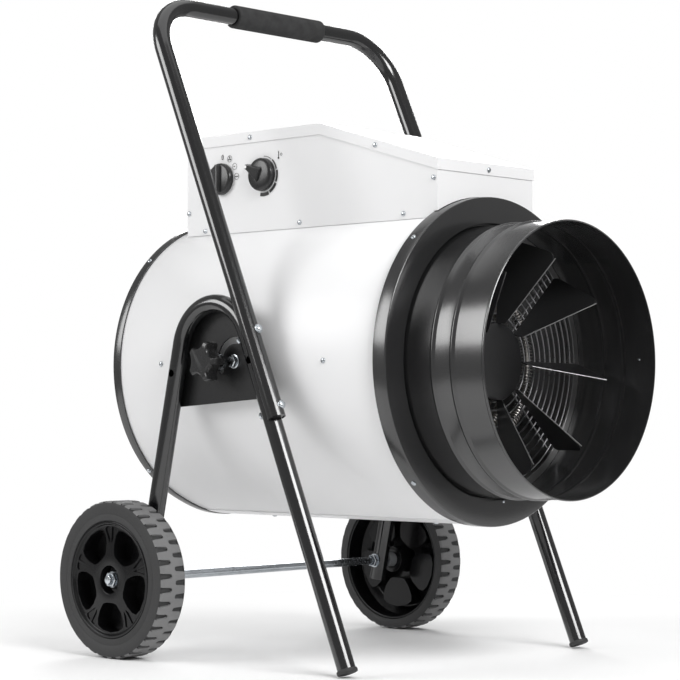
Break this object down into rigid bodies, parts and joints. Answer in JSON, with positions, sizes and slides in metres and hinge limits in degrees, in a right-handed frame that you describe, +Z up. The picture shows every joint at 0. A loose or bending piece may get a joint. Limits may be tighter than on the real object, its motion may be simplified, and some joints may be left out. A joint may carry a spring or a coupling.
{
  "type": "forced air heater",
  "caption": "Wheeled electric forced air heater: a tilting white drum with fan, elements and outlet collar, hung in a tubular trolley, with a control box on top.",
  "frame": {"origin": "centre of the bounding box at floor level", "axes": "+Z up, the outlet faces -Y, the side with the control knobs faces -X"},
  "size_m": [0.724, 0.776, 1.0781],
  "materials": {
    "white_paint": "satin white powder coat",
    "black_paint": "gloss black powder coat",
    "satin_black": "satin black heat-resistant paint",
    "zinc": "bright zinc plate",
    "steel": "plain galvanised sheet and wire",
    "heater_tube": "heat-tinted finned steel tube",
    "rubber": "matte moulded rubber",
    "rim_plastic": "satin moulded black",
    "knob_plastic": "satin moulded black",
    "grey_plastic": "matte moulded grey",
    "ceramic": "unglazed",
    "foam": "closed-cell foam sleeve, matte"
  },
  "bodies": {
    "trolley": {"right_side_frame": "black_paint", "left_side_frame": "black_paint", "right_foot_cap": "rubber", "left_foot_cap": "rubber", "right_pivot_plate": "satin_black", "left_pivot_plate": "satin_black", "handle_tube": "black_paint", "foam_grip": "foam", "right_upper_handle_bolt": "zinc", "left_upper_handle_bolt": "zinc", "right_lower_handle_bolt": "zinc", "left_lower_handle_bolt": "zinc", "axle_rod": "zinc", "right_axle_nut": "zinc", "left_axle_nut": "zinc"},
    "right_wheel": {"right_tyre": "rubber", "right_rim": "rim_plastic", "right_hub_bush": "grey_plastic"},
    "left_wheel": {"left_tyre": "rubber", "left_rim": "rim_plastic", "left_hub_bush": "grey_plastic"},
    "heater": {"drum_shell": "white_paint", "rear_edge_trim": "satin_black", "front_flange": "satin_black", "outlet_collar": "satin_black", "outlet_guard": "steel", "inlet_guard": "black_paint", "flow_deflector": "satin_black", "heat_shield": "steel", "outer_element_1": "heater_tube", "outer_element_2": "heater_tube", "inner_element_1": "heater_tube", "inner_element_2": "heater_tube", "element_support": "steel", "terminal_plate": "ceramic", "fan_motor": "grey_plastic", "motor_bracket": "steel", "right_pivot_bolt": "zinc", "left_pivot_bolt": "zinc", "right_pivot_spacer": "zinc", "left_pivot_spacer": "zinc", "right_side_bracket": "steel", "left_side_bracket": "steel", "box_shell": "white_paint", "box_lid": "white_paint", "cable_gland": "grey_plastic", "mounting_plate": "steel", "contactor_1": "grey_plastic", "contactor_2": "grey_plastic", "terminal_block": "ceramic", "selector_switch": "grey_plastic", "thermostat_switch": "grey_plastic"},
    "fan": {"fan_impeller": "satin_black", "motor_shaft": "steel"},
    "selector": {"selector_knob": "knob_plastic", "selector_spindle": "steel"},
    "thermostat": {"thermostat_knob": "knob_plastic", "thermostat_spindle": "steel"},
    "right_lock": {"right_lock_knob": "knob_plastic"},
    "left_lock": {"left_lock_knob": "knob_plastic"}
  },
  "joints": [
    {"name": "heater_tilt", "type": "hinge", "parent": "trolley", "child": "heater", "pos_m": [0, 0.075, 0.4703], "axis": [1, 0, 0], "range_deg": [-15, 40]},
    {"name": "right_wheel_spin", "type": "hinge", "parent": "trolley", "child": "right_wheel", "pos_m": [-0.3328, 0.265, 0.125], "axis": [1, 0, 0], "continuous": true},
    {"name": "left_wheel_spin", "type": "hinge", "parent": "trolley", "child": "left_wheel", "pos_m": [0.3328, 0.265, 0.125], "axis": [1, 0, 0], "continuous": true},
    {"name": "fan_spin", "type": "hinge", "parent": "heater", "child": "fan", "pos_m": [0, 0.17, 0.4693], "axis": [0, 1, 0], "continuous": true},
    {"name": "selector_turn", "type": "hinge", "parent": "heater", "child": "selector", "pos_m": [-0.125, 0.2605, 0.781], "axis": [1, 0, 0], "range_deg": [0, 90]},
    {"name": "thermostat_turn", "type": "hinge", "parent": "heater", "child": "thermostat", "pos_m": [-0.125, 0.1625, 0.7815], "axis": [1, 0, 0], "range_deg": [0, 270]},
    {"name": "right_lock_turn", "type": "hinge", "parent": "heater", "child": "right_lock", "pos_m": [-0.295, 0.108, 0.4703], "axis": [1, 0, 0], "range_deg": [0, 360]},
    {"name": "left_lock_turn", "type": "hinge", "parent": "heater", "child": "left_lock", "pos_m": [0.295, 0.108, 0.4703], "axis": [-1, 0, 0], "range_deg": [0, 360]}
  ]
}
